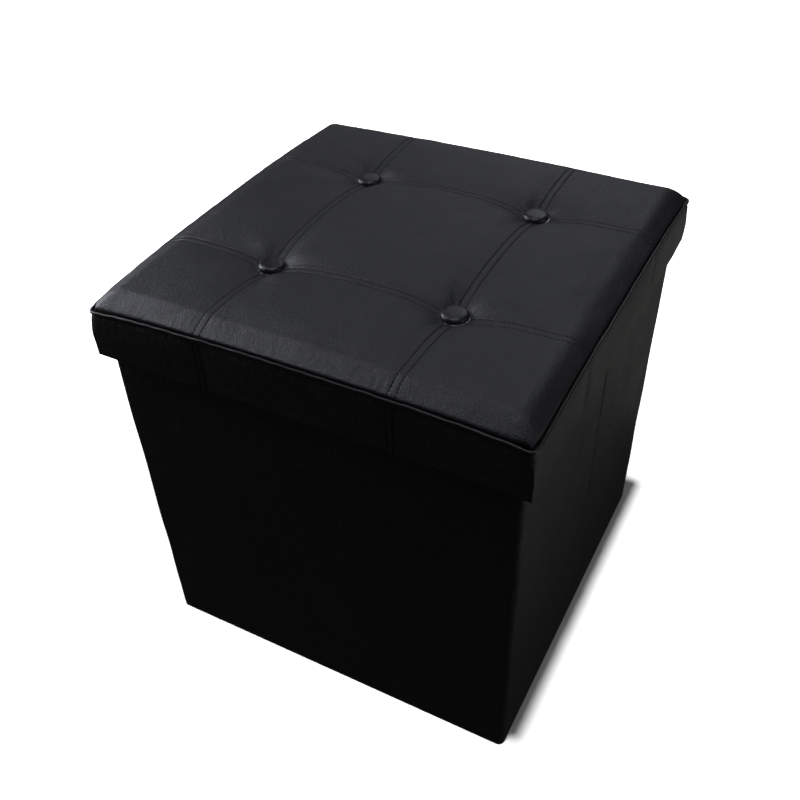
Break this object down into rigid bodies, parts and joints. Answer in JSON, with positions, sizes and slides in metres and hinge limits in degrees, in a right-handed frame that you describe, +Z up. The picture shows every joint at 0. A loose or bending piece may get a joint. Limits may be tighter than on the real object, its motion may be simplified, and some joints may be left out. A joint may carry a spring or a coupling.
{
  "type": "folding storage ottoman",
  "caption": "Cube footstool of folding leatherette walls with a loose padded lid, tufted with buttons, over a storage space.",
  "frame": {"origin": "on the floor at the middle of the footprint", "axes": "+Z up, front at -Y, creased side walls at +X and -X"},
  "size_m": [0.38, 0.377, 0.396],
  "materials": {
    "leatherette": "satin black synthetic leather with a fine grain",
    "fibreboard": "bare medium density fibreboard",
    "lining": "black non-woven lining",
    "foam": "open cell polyurethane foam",
    "twine": "waxed tufting twine",
    "steel": "plain steel"
  },
  "bodies": {
    "back_wall": {"back_wall_board": "fibreboard", "back_wall_lining": "lining", "back_wall_skin": "leatherette", "base_board": "fibreboard", "base_cover": "leatherette", "base_lining": "lining"},
    "right_rear_half": {"right_rear_board": "fibreboard", "right_rear_lining": "lining", "right_rear_skin": "leatherette"},
    "right_front_half": {"right_front_board": "fibreboard", "right_front_lining": "lining", "right_front_skin": "leatherette"},
    "front_wall": {"front_wall_board": "fibreboard", "front_wall_lining": "lining", "front_wall_skin": "leatherette"},
    "left_front_half": {"left_front_board": "fibreboard", "left_front_lining": "lining", "left_front_skin": "leatherette"},
    "left_rear_half": {"left_rear_board": "fibreboard", "left_rear_lining": "lining", "left_rear_skin": "leatherette"},
    "lid": {"button_covers": "leatherette", "button_shells": "steel", "button_twines": "twine", "edge_welt": "leatherette", "lid_board": "fibreboard", "lid_lining": "lining", "lid_staples": "steel", "seat_foam": "foam", "skirt_back_left": "leatherette", "skirt_back_middle": "leatherette", "skirt_back_right": "leatherette", "skirt_board_back": "fibreboard", "skirt_board_front": "fibreboard", "skirt_board_left": "fibreboard", "skirt_board_right": "fibreboard", "skirt_front_left": "leatherette", "skirt_front_middle": "leatherette", "skirt_front_right": "leatherette", "skirt_left_front": "leatherette", "skirt_left_middle": "leatherette", "skirt_left_rear": "leatherette", "skirt_right_front": "leatherette", "skirt_right_middle": "leatherette", "skirt_right_rear": "leatherette", "top_panel_back": "leatherette", "top_panel_back_left": "leatherette", "top_panel_back_right": "leatherette", "top_panel_centre": "leatherette", "top_panel_front": "leatherette", "top_panel_front_left": "leatherette", "top_panel_front_right": "leatherette", "top_panel_left": "leatherette", "top_panel_right": "leatherette", "twine_anchors": "steel"}
  },
  "joints": [
    {"name": "fold", "type": "hinge", "parent": "back_wall", "child": "right_rear_half", "pos_m": [0.177, 0.1755, 0.18], "axis": [0, 0, 1], "range_deg": [-88, 0]},
    {"name": "right_crease", "type": "hinge", "parent": "right_rear_half", "child": "right_front_half", "pos_m": [0.183, 0, 0.18], "axis": [0, 0, 1], "range_deg": [0, 176]},
    {"name": "front_right_corner", "type": "hinge", "parent": "right_front_half", "child": "front_wall", "pos_m": [0.177, -0.1755, 0.18], "axis": [0, 0, 1], "range_deg": [-88, 0]},
    {"name": "front_left_corner", "type": "hinge", "parent": "front_wall", "child": "left_front_half", "pos_m": [-0.177, -0.1755, 0.18], "axis": [0, 0, 1], "range_deg": [-88, 0]},
    {"name": "back_left_corner", "type": "hinge", "parent": "back_wall", "child": "left_rear_half", "pos_m": [-0.177, 0.1755, 0.18], "axis": [0, 0, 1], "range_deg": [0, 88]},
    {"name": "lid_lift", "type": "slide", "parent": "back_wall", "child": "lid", "axis": [0, 0, 1], "range_m": [0, 0.35]}
  ],
  "couplings": [
    {"joint": "right_crease", "follows": "fold", "ratio": -2},
    {"joint": "front_right_corner", "follows": "fold", "ratio": 1},
    {"joint": "front_left_corner", "follows": "fold", "ratio": 1},
    {"joint": "back_left_corner", "follows": "fold", "ratio": -1}
  ]
}
